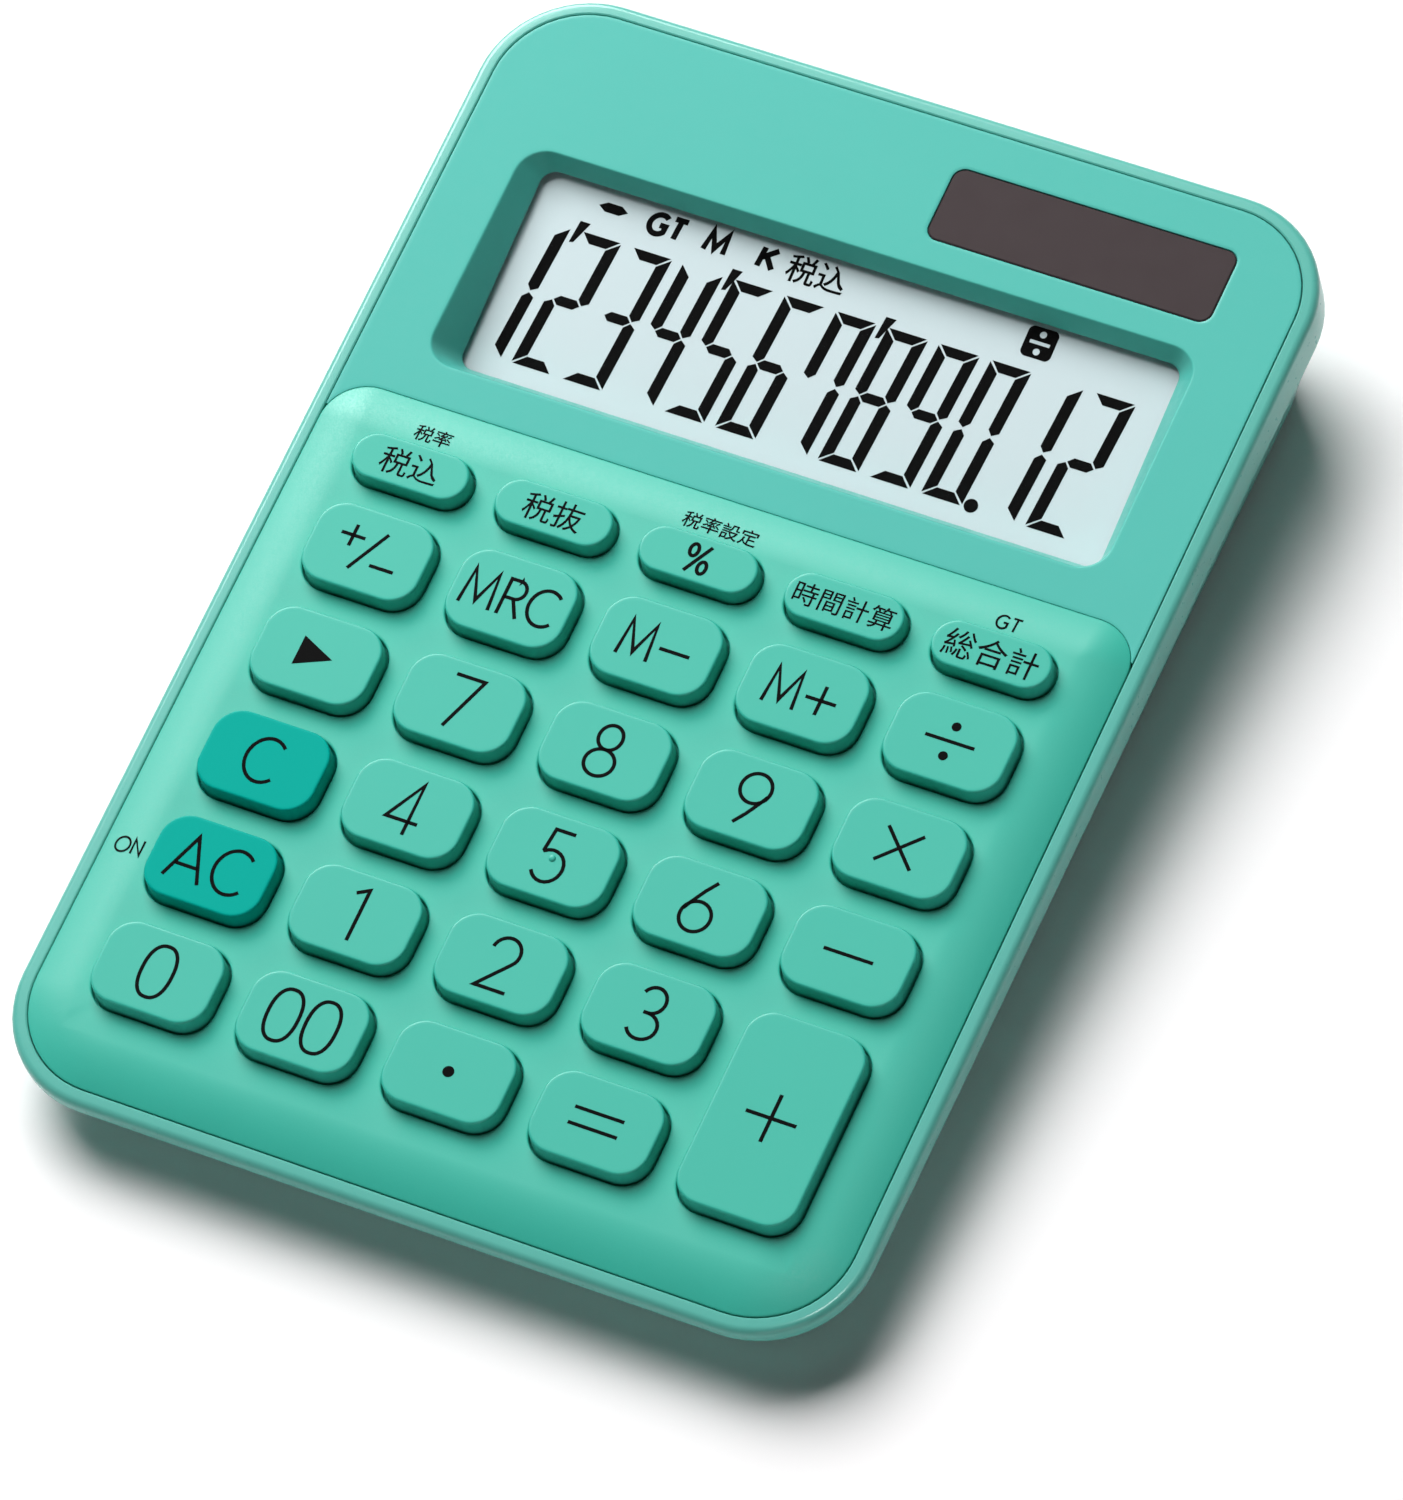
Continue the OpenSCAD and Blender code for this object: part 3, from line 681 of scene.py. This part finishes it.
# Strokes of each sign, for a capital one unit high, with the sign's width
SIGNS = {
    "0": (0.56, [superbowl(0.27, HALF)]),
    "1": (0.36, [[(-0.14, 0.36), (0.06, HALF), (0.06, -HALF)]]),
    "2": (0.56, [arc(0, 0.215, 0.245, 0.257, 172, -42, 18) + [(-0.27, -HALF), (0.28, -HALF)]]),
    "3": (0.54, [arc(-0.01, 0.24, 0.215, 0.232, 155, -90, 18), arc(-0.01, -0.232, 0.255, 0.24, 90, -155, 18),
                 [(-0.09, 0.008), (-0.01, 0.008)]]),
    "4": (0.6, [[(0.11, -HALF), (0.11, HALF), (-0.29, -0.23), (0.28, -0.23)]]),
    "5": (0.54, [[(0.2, HALF), (-0.15, HALF), (-0.19, 0.075)]
                 + arc(-0.02, -0.18, 0.265, 0.292, 125, -150, 18)]),
    "6": (0.56, SIX),
    "7": (0.54, [[(-0.26, HALF), (0.26, HALF), (-0.1, -HALF)]]),
    "8": (0.54, [bowl(0, 0.245, 0.205, 0.227), bowl(0, -0.227, 0.258, 0.245)]),
    "9": (0.56, flipped(SIX)),
    "A": (0.76, [[(-0.37, -HALF), (0, HALF), (0.37, -HALF)], [(-0.25, -0.16), (0.25, -0.16)]]),
    "C": (0.76, [arc(0.04, 0, 0.4, HALF, 47, 313, 30)]),
    "G": (0.8, [arc(0.02, 0, 0.4, HALF, 47, 318, 30) + [(0.32, -0.03), (0.06, -0.03)]]),
    "K": (0.56, [[(-0.24, -HALF), (-0.24, HALF)], [(0.22, HALF), (-0.24, -0.06)],
                 [(-0.08, 0.1), (0.26, -HALF)]]),
    "M": (0.84, [[(-0.38, -HALF), (-0.3, HALF), (0, -0.33), (0.3, HALF), (0.38, -HALF)]]),
    "N": (0.68, [[(-0.29, -HALF), (-0.29, HALF), (0.29, -HALF), (0.29, HALF)]]),
    "O": (0.96, [bowl(0, 0, HALF, HALF)]),
    "R": (0.54, [[(-0.22, -HALF), (-0.22, HALF), (0.02, HALF)] + arc(0.02, 0.232, 0.22, 0.24, 90, -90, 14)
                 + [(-0.22, -0.008)], [(0.02, -0.008), (0.26, -HALF)]]),
    "T": (0.6, [[(-0.28, HALF), (0.28, HALF)], [(0, HALF), (0, -HALF)]]),
    "%": (0.7, [[(0.27, HALF), (-0.27, -HALF)], bowl(-0.22, 0.24, 0.13, 0.2, 20),
                bowl(0.22, -0.24, 0.13, 0.2, 20)]),
    "-": (0.78, [[(-0.38, -0.04), (0.38, -0.04)]]),
    "+": (0.78, [[(-0.38, -0.04), (0.38, -0.04)], [(0, 0.34), (0, -0.42)]]),
}
# Height of the ink on the keys, on the keyboard panel and in the display, and of its underside
INK_RISE = 0.025
LABEL_RISE = 0.045
LCD_RISE = 0.02
INK_FOOT = 0.004
# Width of the strokes of the operators, of the other legends, of the plus key and of the panel's labels
STROKE = 0.42
TEXT_STROKE = 0.43
PLUS_STROKE = 0.44
LABEL_STROKE = 0.25
# Step in height between strokes that cross
LAYER = 0.0005


def ribbon(bm, points, width, lift):
    """A flat line of even width along points, closed where they end on their start."""
    points = [Vector(p) for p in points]
    looped = (points[0] - points[-1]).length < 1e-4
    if looped:
        points = points[:-1]
    count, rails = len(points), []
    for i, p in enumerate(points):
        before = points[i - 1] if looped or i else None
        after = points[(i + 1) % count] if looped or i < count - 1 else None
        a = (p - before).normalized() if before is not None else (after - p).normalized()
        b = (after - p).normalized() if after is not None else a
        along = (a + b).normalized()
        across = Vector((-along.y, along.x)) * width / 2 / max(along.dot(a), 0.35)
        rails.append([bm.verts.new((*(p + across), lift)), bm.verts.new((*(p - across), lift))])
    if looped:
        rails.append(rails[0])
    for a, b in zip(rails, rails[1:]):
        bm.faces.new((a[1], b[1], b[0], a[0]))


def disc(bm, x, y, r, lift, steps=28):
    """A flat dot."""
    bm.faces.new([bm.verts.new((*p, lift)) for p in arc(x, y, r, r, 0, 360 - 360 / steps, steps - 1)])


def patch(bm, points, lift):
    """A flat polygon."""
    bm.faces.new([bm.verts.new((*p, lift)) for p in points])


def write(bm, text, height, x, y, weight, gap, squeeze=1.0, lean=0.0):
    """Draws text in even strokes of a weight, centred on x and y, with capitals of that height."""
    widths = [SIGNS[c][0] * height * squeeze for c in text]
    total = sum(widths) + gap * height * (len(text) - 1)
    pen = x - total / 2
    for index, (sign, width) in enumerate(zip(text, widths)):
        for stroke in SIGNS[sign][1]:
            moved = [(pen + width / 2 + (px * squeeze + py * lean) * height, y + py * height)
                     for px, py in stroke]
            ribbon(bm, moved, weight, LAYER * index)
        pen += width + gap * height


def word(bm, text, size, x, y, bold, spacing=1.0):
    """Draws a function word with the built-in typeface, made bolder, centred on x and y."""
    curve = bpy.data.curves.new("word", "FONT")
    curve.body = text
    curve.size = size
    curve.align_x = "CENTER"
    curve.offset = bold
    curve.space_character = spacing
    curve.resolution_u = 4
    holder = bpy.data.objects.new("word", curve)
    bpy.context.scene.collection.objects.link(holder)
    mesh = bpy.data.meshes.new_from_object(holder.evaluated_get(bpy.context.evaluated_depsgraph_get()))
    middle = [(min(v.co[i] for v in mesh.vertices) + max(v.co[i] for v in mesh.vertices)) / 2
              for i in (0, 1)]
    mesh.transform(Matrix.Translation((x - middle[0], y - middle[1], 0)))
    bm.from_mesh(mesh)
    bpy.data.meshes.remove(mesh)
    bpy.data.objects.remove(holder)
    bpy.data.curves.remove(curve)


def print_on(name, bm, place, surface, body, rise):
    """Turns flat artwork into a thin raised film that follows a surface height."""
    bmesh.ops.recalc_face_normals(bm, faces=bm.faces)
    grown = bmesh.ops.extrude_face_region(bm, geom=list(bm.faces))
    lifted = {v for v in grown["geom"] if isinstance(v, bmesh.types.BMVert)}
    for v in bm.verts:
        v.co.z += surface(v.co.x, v.co.y) + (rise if v in lifted else INK_FOOT)
    mesh = bpy.data.meshes.new(name)
    bmesh.ops.recalc_face_normals(bm, faces=bm.faces)
    bm.to_mesh(mesh)
    bm.free()
    film = finish_mesh(mesh, name, place, LOOKS["carbon_ink"], 30)
    belongs(film, body, "carbon_ink")


# What is printed on the keys whose legend is neither text nor a word, about the middle of the key
def art_sign(bm):
    for bar in ([(-3.9, 1.35), (-0.9, 1.35)], [(-2.4, 2.75), (-2.4, -0.05)], [(-1.35, -2.7), (1.5, 2.7)],
                [(0.95, -1.6), (3.95, -1.6)]):
        ribbon(bm, bar, STROKE, 0)


def art_divide(bm):
    ribbon(bm, [(-3.0, 0), (3.0, 0)], STROKE, 0)
    for y in (1.9, -1.9):
        disc(bm, 0, y, 0.56, 0)


def art_multiply(bm):
    for s in (-1, 1):
        ribbon(bm, [(-2.2, -2.2 * s), (2.2, 2.2 * s)], STROKE, LAYER * s)


def art_minus(bm):
    ribbon(bm, [(-3.0, 0), (3.0, 0)], STROKE, 0)


def art_plus(bm):
    ribbon(bm, [(-3.05, 0), (3.05, 0)], PLUS_STROKE, 0)
    ribbon(bm, [(0, -3.0), (0, 3.0)], PLUS_STROKE, LAYER)


def art_equals(bm):
    for y in (1.0, -1.0):
        ribbon(bm, [(-3.0, y), (3.0, y)], STROKE, 0)


def art_arrow(bm):
    patch(bm, [(-2.15, -1.9), (2.1, 0), (-2.15, 1.9)], 0)


def art_point(bm):
    disc(bm, 0, 0, 0.68, 0)


def text_art(text, height, gap=0.13):
    """A function that draws text on a key."""
    return lambda bm: write(bm, text, height, 0, 0, TEXT_STROKE, gap)


def word_art(text, size, spacing=1.0):
    """A function that draws a function word on a key."""
    return lambda bm: word(bm, text, size, 0, 0, 0.006, spacing)


# Heights of the digits, of the memory keys' letters and of the clear keys' letters
DIGIT = 6.9
MEMORY = 4.9
CLEAR = 5.9
# The artwork of each key; a key that is not named here shows its digit
ARTWORK = {
    "tax_in": word_art("税込", 3.75), "tax_out": word_art("税抜", 3.75), "percent": text_art("%", 3.9),
    "time": word_art("時間計算", 3.15), "grand_total": word_art("総合計", 3.85, 1.03),
    "sign": art_sign, "memory_recall": text_art("MRC", MEMORY), "memory_minus": text_art("M-", MEMORY),
    "memory_plus": text_art("M+", MEMORY), "divide": art_divide, "backspace": art_arrow,
    "multiply": art_multiply, "clear": text_art("C", CLEAR), "minus": art_minus,
    "all_clear": text_art("AC", CLEAR), "plus": art_plus, "equals": art_equals,
    "00": text_art("00", DIGIT, 0.12), "point": art_point,
}


def print_key(node):
    """The legend on a key."""
    x, y, _, _, _, top = key_plan(node)
    name = node[4:]
    bm = bmesh.new()
    ARTWORK.get(name, text_art(name, DIGIT))(bm)
    place = TOP @ Matrix.Translation((x, y, top))
    print_on("legend_" + name, bm, place, lambda px, py: 0, node, INK_RISE)


def print_panel():
    """The small words beside the all-clear key and above the first row."""
    x, y, _, _, _, _ = key_plan("key_all_clear")
    first, middle, last = (key_plan("key_" + n) for n in ("tax_in", "percent", "grand_total"))
    above = first[1] + first[3] / 2 + 2.35
    bm = bmesh.new()
    write(bm, "ON", 2.0, x - 10.9, y + 0.1, LABEL_STROKE, 0.16)
    word(bm, "税率", 2.35, first[0], above, 0.008)
    word(bm, "税率設定", 2.35, middle[0], above, 0.008)
    write(bm, "GT", 1.85, last[0] - 0.45, above - 0.25, LABEL_STROKE, 0.14)
    print_on("panel_labels", bm, TOP, pillow_height, "base", LABEL_RISE)


def build_pip():
    """The raised dot that a finger finds in the middle of the five key."""
    x, y, _, _, _, top = key_plan("key_5")
    shell = Shell()
    shell.solid([circle(x, y - 0.2, 0.42 * math.cos(a), top - 0.02 + 0.26 * math.sin(a), 20) for a in
                 [math.radians(12 * i) for i in range(7)]])
    pip = shell.piece("pip_5", TOP, LOOKS["key_plastic"], 60)
    belongs(pip, "key_5", "key_plastic")


# ---------------------------------------------------------------- liquid-crystal display
SEGMENTS = {"0": "abcdef", "1": "bc", "2": "abdeg", "3": "abcdg", "4": "bcfg", "5": "acdfg",
            "6": "acdefg", "7": "abcf", "8": "abcdefg", "9": "abcdfg"}
READING = "123456789012"
# A digit's width and height, the width of its bars and the gap between them
DIGIT_W, DIGIT_H, BAR, GAP = 5.1, 17.7, 1.42, 0.13
DIGIT_PITCH, LEAN = 6.483, math.tan(math.radians(4.6))
DIGITS_LOW, DIGITS_RIGHT = -10.35, 36.5
# Height of the liquid-crystal cell's face in the tilted frame of the display
LCD_FACE = -1.1


def segment(letter):
    """A bar of a seven-bar digit as an upright polygon, with the digit's lower left corner at 0, 0."""
    w, h, t, m, g = DIGIT_W, DIGIT_H, BAR, DIGIT_H / 2, GAP
    thin = t * 0.86
    upper = [(w, h - g * 1.4), (w, m + g + 0.5), (w - t * 0.55, m + g), (w - t, m + thin * 0.55 + g),
             (w - t, h - thin - g * 1.6)]
    bar = {"b": upper, "f": [(w - x, y) for x, y in upper]}
    bar["c"] = [(x, h - y) for x, y in upper]
    bar["e"] = [(w - x, h - y) for x, y in upper]
    bar["a"] = [(g * 1.4, h), (w - g * 1.4, h), (w - t - g * 0.4, h - thin), (t + g * 0.4, h - thin)]
    bar["d"] = [(x, h - y) for x, y in bar["a"]]
    bar["g"] = [(t * 0.55 + g, m), (t + g, m + thin / 2), (w - t - g, m + thin / 2), (w - t * 0.55 - g, m),
                (w - t - g, m - thin / 2), (t + g, m - thin / 2)]
    return bar[letter]


def build_reading():
    """The twelve digits, the marks that part the thousands, and the decimal point."""
    bm = bmesh.new()
    for place, digit in enumerate(READING):
        left = DIGITS_RIGHT - DIGIT_W - DIGIT_PITCH * (len(READING) - 1 - place) - LEAN * DIGIT_H
        for letter in SEGMENTS[digit]:
            patch(bm, [(left + x + LEAN * y, DIGITS_LOW + y) for x, y in segment(letter)], 0)
        if place in (0, 3, 6):
            x, y = left + DIGIT_W + LEAN * DIGIT_H + 0.55, DIGITS_LOW + DIGIT_H
            patch(bm, [(x - 0.15, y - 1.7), (x + 0.35, y - 1.6), (x + 1.45, y + 1.15),
                       (x + 0.15, y + 1.15)], 0)
        if place == 9:
            disc(bm, left + DIGIT_W + 1.05, DIGITS_LOW + 0.35, 0.85, 0)
    print_on("lcd_reading", bm, LCD, lambda x, y: LCD_FACE, "base", LCD_RISE)


def build_indicators():
    """The small signs along the top of the display."""
    bm = bmesh.new()
    y = 10.95
    patch(bm, [(-31 + px, y + py) for px, py in [(-1.85, 0.1), (-0.9, -0.5), (0.9, -0.5), (1.85, 0.1),
                                                 (0.9, 0.7), (-0.9, 0.7)]], 0)
    write(bm, "GT", 2.6, -24.1, y, 0.7, 0.16, 1.1, LEAN)
    write(bm, "M", 2.6, -17.7, y, 0.66, 0, 1.25, LEAN)
    write(bm, "K", 2.6, -11.2, y, 0.7, 0, 1.4, LEAN)
    word(bm, "税込", 3.75, -5.0, y - 0.1, 0.04)
    x = 23.0
    badge = rounded(3.75, 3.85, 0.7, mid=(x, y))
    slots = [rounded(2.5, 0.42, 0.05, mid=(x, y))]
    slots += [arc(x, y + side, 0.42, 0.42, 0, 342, 19) for side in (1.1, -1.1)]
    shell = Shell()
    loops = [shell.ring(at(outline, 0)) for outline in [badge] + slots]
    shell.fill(*loops)
    mesh = bpy.data.meshes.new("badge")
    shell.bm.to_mesh(mesh)
    shell.bm.free()
    bm.from_mesh(mesh)
    bpy.data.meshes.remove(mesh)
    print_on("lcd_indicators", bm, LCD, lambda x, y: LCD_FACE, "base", LCD_RISE)


def build_windows():
    """The clear cover of the display and the dark one of the solar cell."""
    shell = Shell()
    outline = rounded(WINDOW_W + 2.5, WINDOW_L + 2.5, 1.5)
    inner = rounded(WINDOW_W + 2.2, WINDOW_L + 2.2, 1.35)
    shell.solid([at(outline, 0.02 - WINDOW_T), at(outline, -0.2), at(inner, -0.05)])
    cover = shell.piece("lcd_cover", LCD, LOOKS["clear_plastic"], 30)
    belongs(cover, "base", "clear_plastic", "lcd_window")
    shell = Shell()
    shell.solid([solar_ring(-SOLAR_GAP, 0.02 - PANE_T), solar_ring(-SOLAR_GAP, -0.2),
                 solar_ring(-0.2, -0.06)])
    pane = shell.piece("solar_pane", TOP, LOOKS["smoked_plastic"], 30)
    belongs(pane, "base", "smoked_plastic", "solar_window")


# ---------------------------------------------------------------- underside
FOOT_R = 4.0
# Radius of a case screw's head and of its thread
HEAD_R = 1.9
THREAD_R = 1.0


def build_feet():
    """The four rubber feet, each a little hollow under its middle."""
    for index, (middle, high) in enumerate(islands("rubber_feet")):
        profile = [(3.2, 0.08), (3.3, 0), (3.8, 0.02), (FOOT_R, 0.18), (FOOT_R, high.z)]
        shell = Shell()
        shell.solid([circle(middle.x, middle.y, r, z) for r, z in profile])
        foot = shell.piece("foot_%d" % (index + 1), ROW, LOOKS["black_rubber"], 35)
        belongs(foot, "base", "black_rubber", "rubber_feet")


def build_screws():
    """The six case screws, each with a rounded head and a cross recess."""
    arm, reach = 0.28, 1.05
    cross = [(reach, arm), (arm, arm), (arm, reach), (-arm, reach), (-arm, arm), (-reach, arm),
             (-reach, -arm), (-arm, -arm), (-arm, -reach), (arm, -reach), (arm, -arm), (reach, -arm)]
    for index, (middle, _) in enumerate(islands("case_screws")):
        spot = TO_TOP @ middle
        place = TOP @ Matrix.Translation((spot.x, spot.y, spot.z - 4.6))
        shell = Shell()
        crown = [circle(0, 0, HEAD_R - 0.35 * (1 - math.cos(a)), 0.45 - 0.45 * math.sin(a)) for a in
                 [math.radians(22.5 * i) for i in range(5)]]
        threads = [(HEAD_R, 1.2), (THREAD_R, 1.2)]
        threads += [(THREAD_R - 0.16 * (i % 2), 1.5 + 0.3 * i) for i in range(24)] + [(0.5, 9.1)]
        last, first = shell.loft([circle(0, 0, r, z) for r, z in reversed(threads)] + crown)
        shell.cap(last)
        mouth, floor = shell.loft([at(cross, 0), at([(x * 0.7, y * 0.7) for x, y in cross], 0.7)])
        shell.fill(first, mouth)
        shell.cap(floor)
        screw = shell.piece("case_screw_%d" % (index + 1), place, LOOKS["screw_steel"], 35)
        belongs(screw, "base", "screw_steel", "case_screws")


# ---------------------------------------------------------------- stage, light and camera
def build_stage():
    """The pale floor."""
    material, _, surface, _ = shader("pale_floor")
    surface.inputs["Base Color"].default_value = (0.93, 0.915, 0.92, 1)
    surface.inputs["Roughness"].default_value = 0.9
    surface.inputs["Specular IOR Level"].default_value = 0.1
    mesh = bpy.data.meshes.new("floor")
    side = 3.0
    corners = [(-side, -side, 0), (side, -side, 0), (side, side, 0), (-side, side, 0)]
    mesh.from_pydata(corners, [], [(0, 1, 2, 3)])
    mesh.materials.append(material)
    floor = bpy.data.objects.new("floor", mesh)
    bpy.context.scene.collection.objects.link(floor)


def add_light(name, towards, distance, size, power, diffuse=True, glossy=True):
    """A square soft light facing the object, seen by its surfaces, by their gloss or by both."""
    lamp = bpy.data.lights.new(name, "AREA")
    lamp.size = size
    lamp.energy = power
    holder = bpy.data.objects.new(name, lamp)
    spot = Vector(towards).normalized() * distance
    holder.location = spot
    holder.rotation_euler = (-spot).to_track_quat("-Z", "Y").to_euler()
    holder.visible_camera = False
    holder.visible_diffuse = diffuse
    holder.visible_glossy = glossy
    bpy.context.scene.collection.objects.link(holder)


def build_light():
    """The broad light from the rear left, two seen only as highlights, and a weak one from the front."""
    add_light("key_light", (-0.50, 0.48, 1.0), 1.25, 1.0, 27.5, glossy=False)
    add_light("edge_light", (-0.65, 0.60, 0.54), 1.5, 0.9, 46.0, diffuse=False)
    add_light("rim_light", (0.15, -0.05, 1.0), 1.5, 0.3, 7.0, diffuse=False)
    add_light("low_fill", (0.45, -0.8, 0.13), 1.5, 1.0, 5.5)
    world = bpy.data.worlds.new("studio")
    bpy.context.scene.world = world
    world.use_nodes = True
    world.node_tree.nodes["Background"].inputs["Color"].default_value = (1, 1, 1, 1)
    world.node_tree.nodes["Background"].inputs["Strength"].default_value = 0.015


def build_camera():
    """The photographer's view: from the front right, well above, with the camera rolled."""
    azimuth, elevation, roll = (math.radians(a) for a in (41.82, 61.08, -19.83))
    aim = TOP @ Vector((8.99, -10.83, 0))
    away = Vector((math.sin(azimuth) * math.cos(elevation), -math.cos(azimuth) * math.cos(elevation),
                   math.sin(elevation)))
    turn = away.to_track_quat("Z", "Y").to_matrix().to_4x4() @ Matrix.Rotation(roll, 4, "Z")
    distance = 1.26065
    data = bpy.data.cameras.new("camera")
    data.sensor_width = 36
    data.lens = 271.07
    data.clip_end = 20
    camera = bpy.data.objects.new("camera", data)
    camera.matrix_world = Matrix.Translation(aim + (TURN @ away) * distance) @ TURN @ turn
    bpy.context.scene.collection.objects.link(camera)
    bpy.context.scene.camera = camera


paint_frame()
build_case()
build_display()
build_keyboard()
for key in KEYS:
    build_key(key)
    print_key(key)
build_pip()
print_panel()
build_reading()
build_indicators()
build_windows()
build_feet()
build_screws()
build_stage()
build_light()
build_camera()
bpy.context.scene.view_settings.view_transform = "Standard"
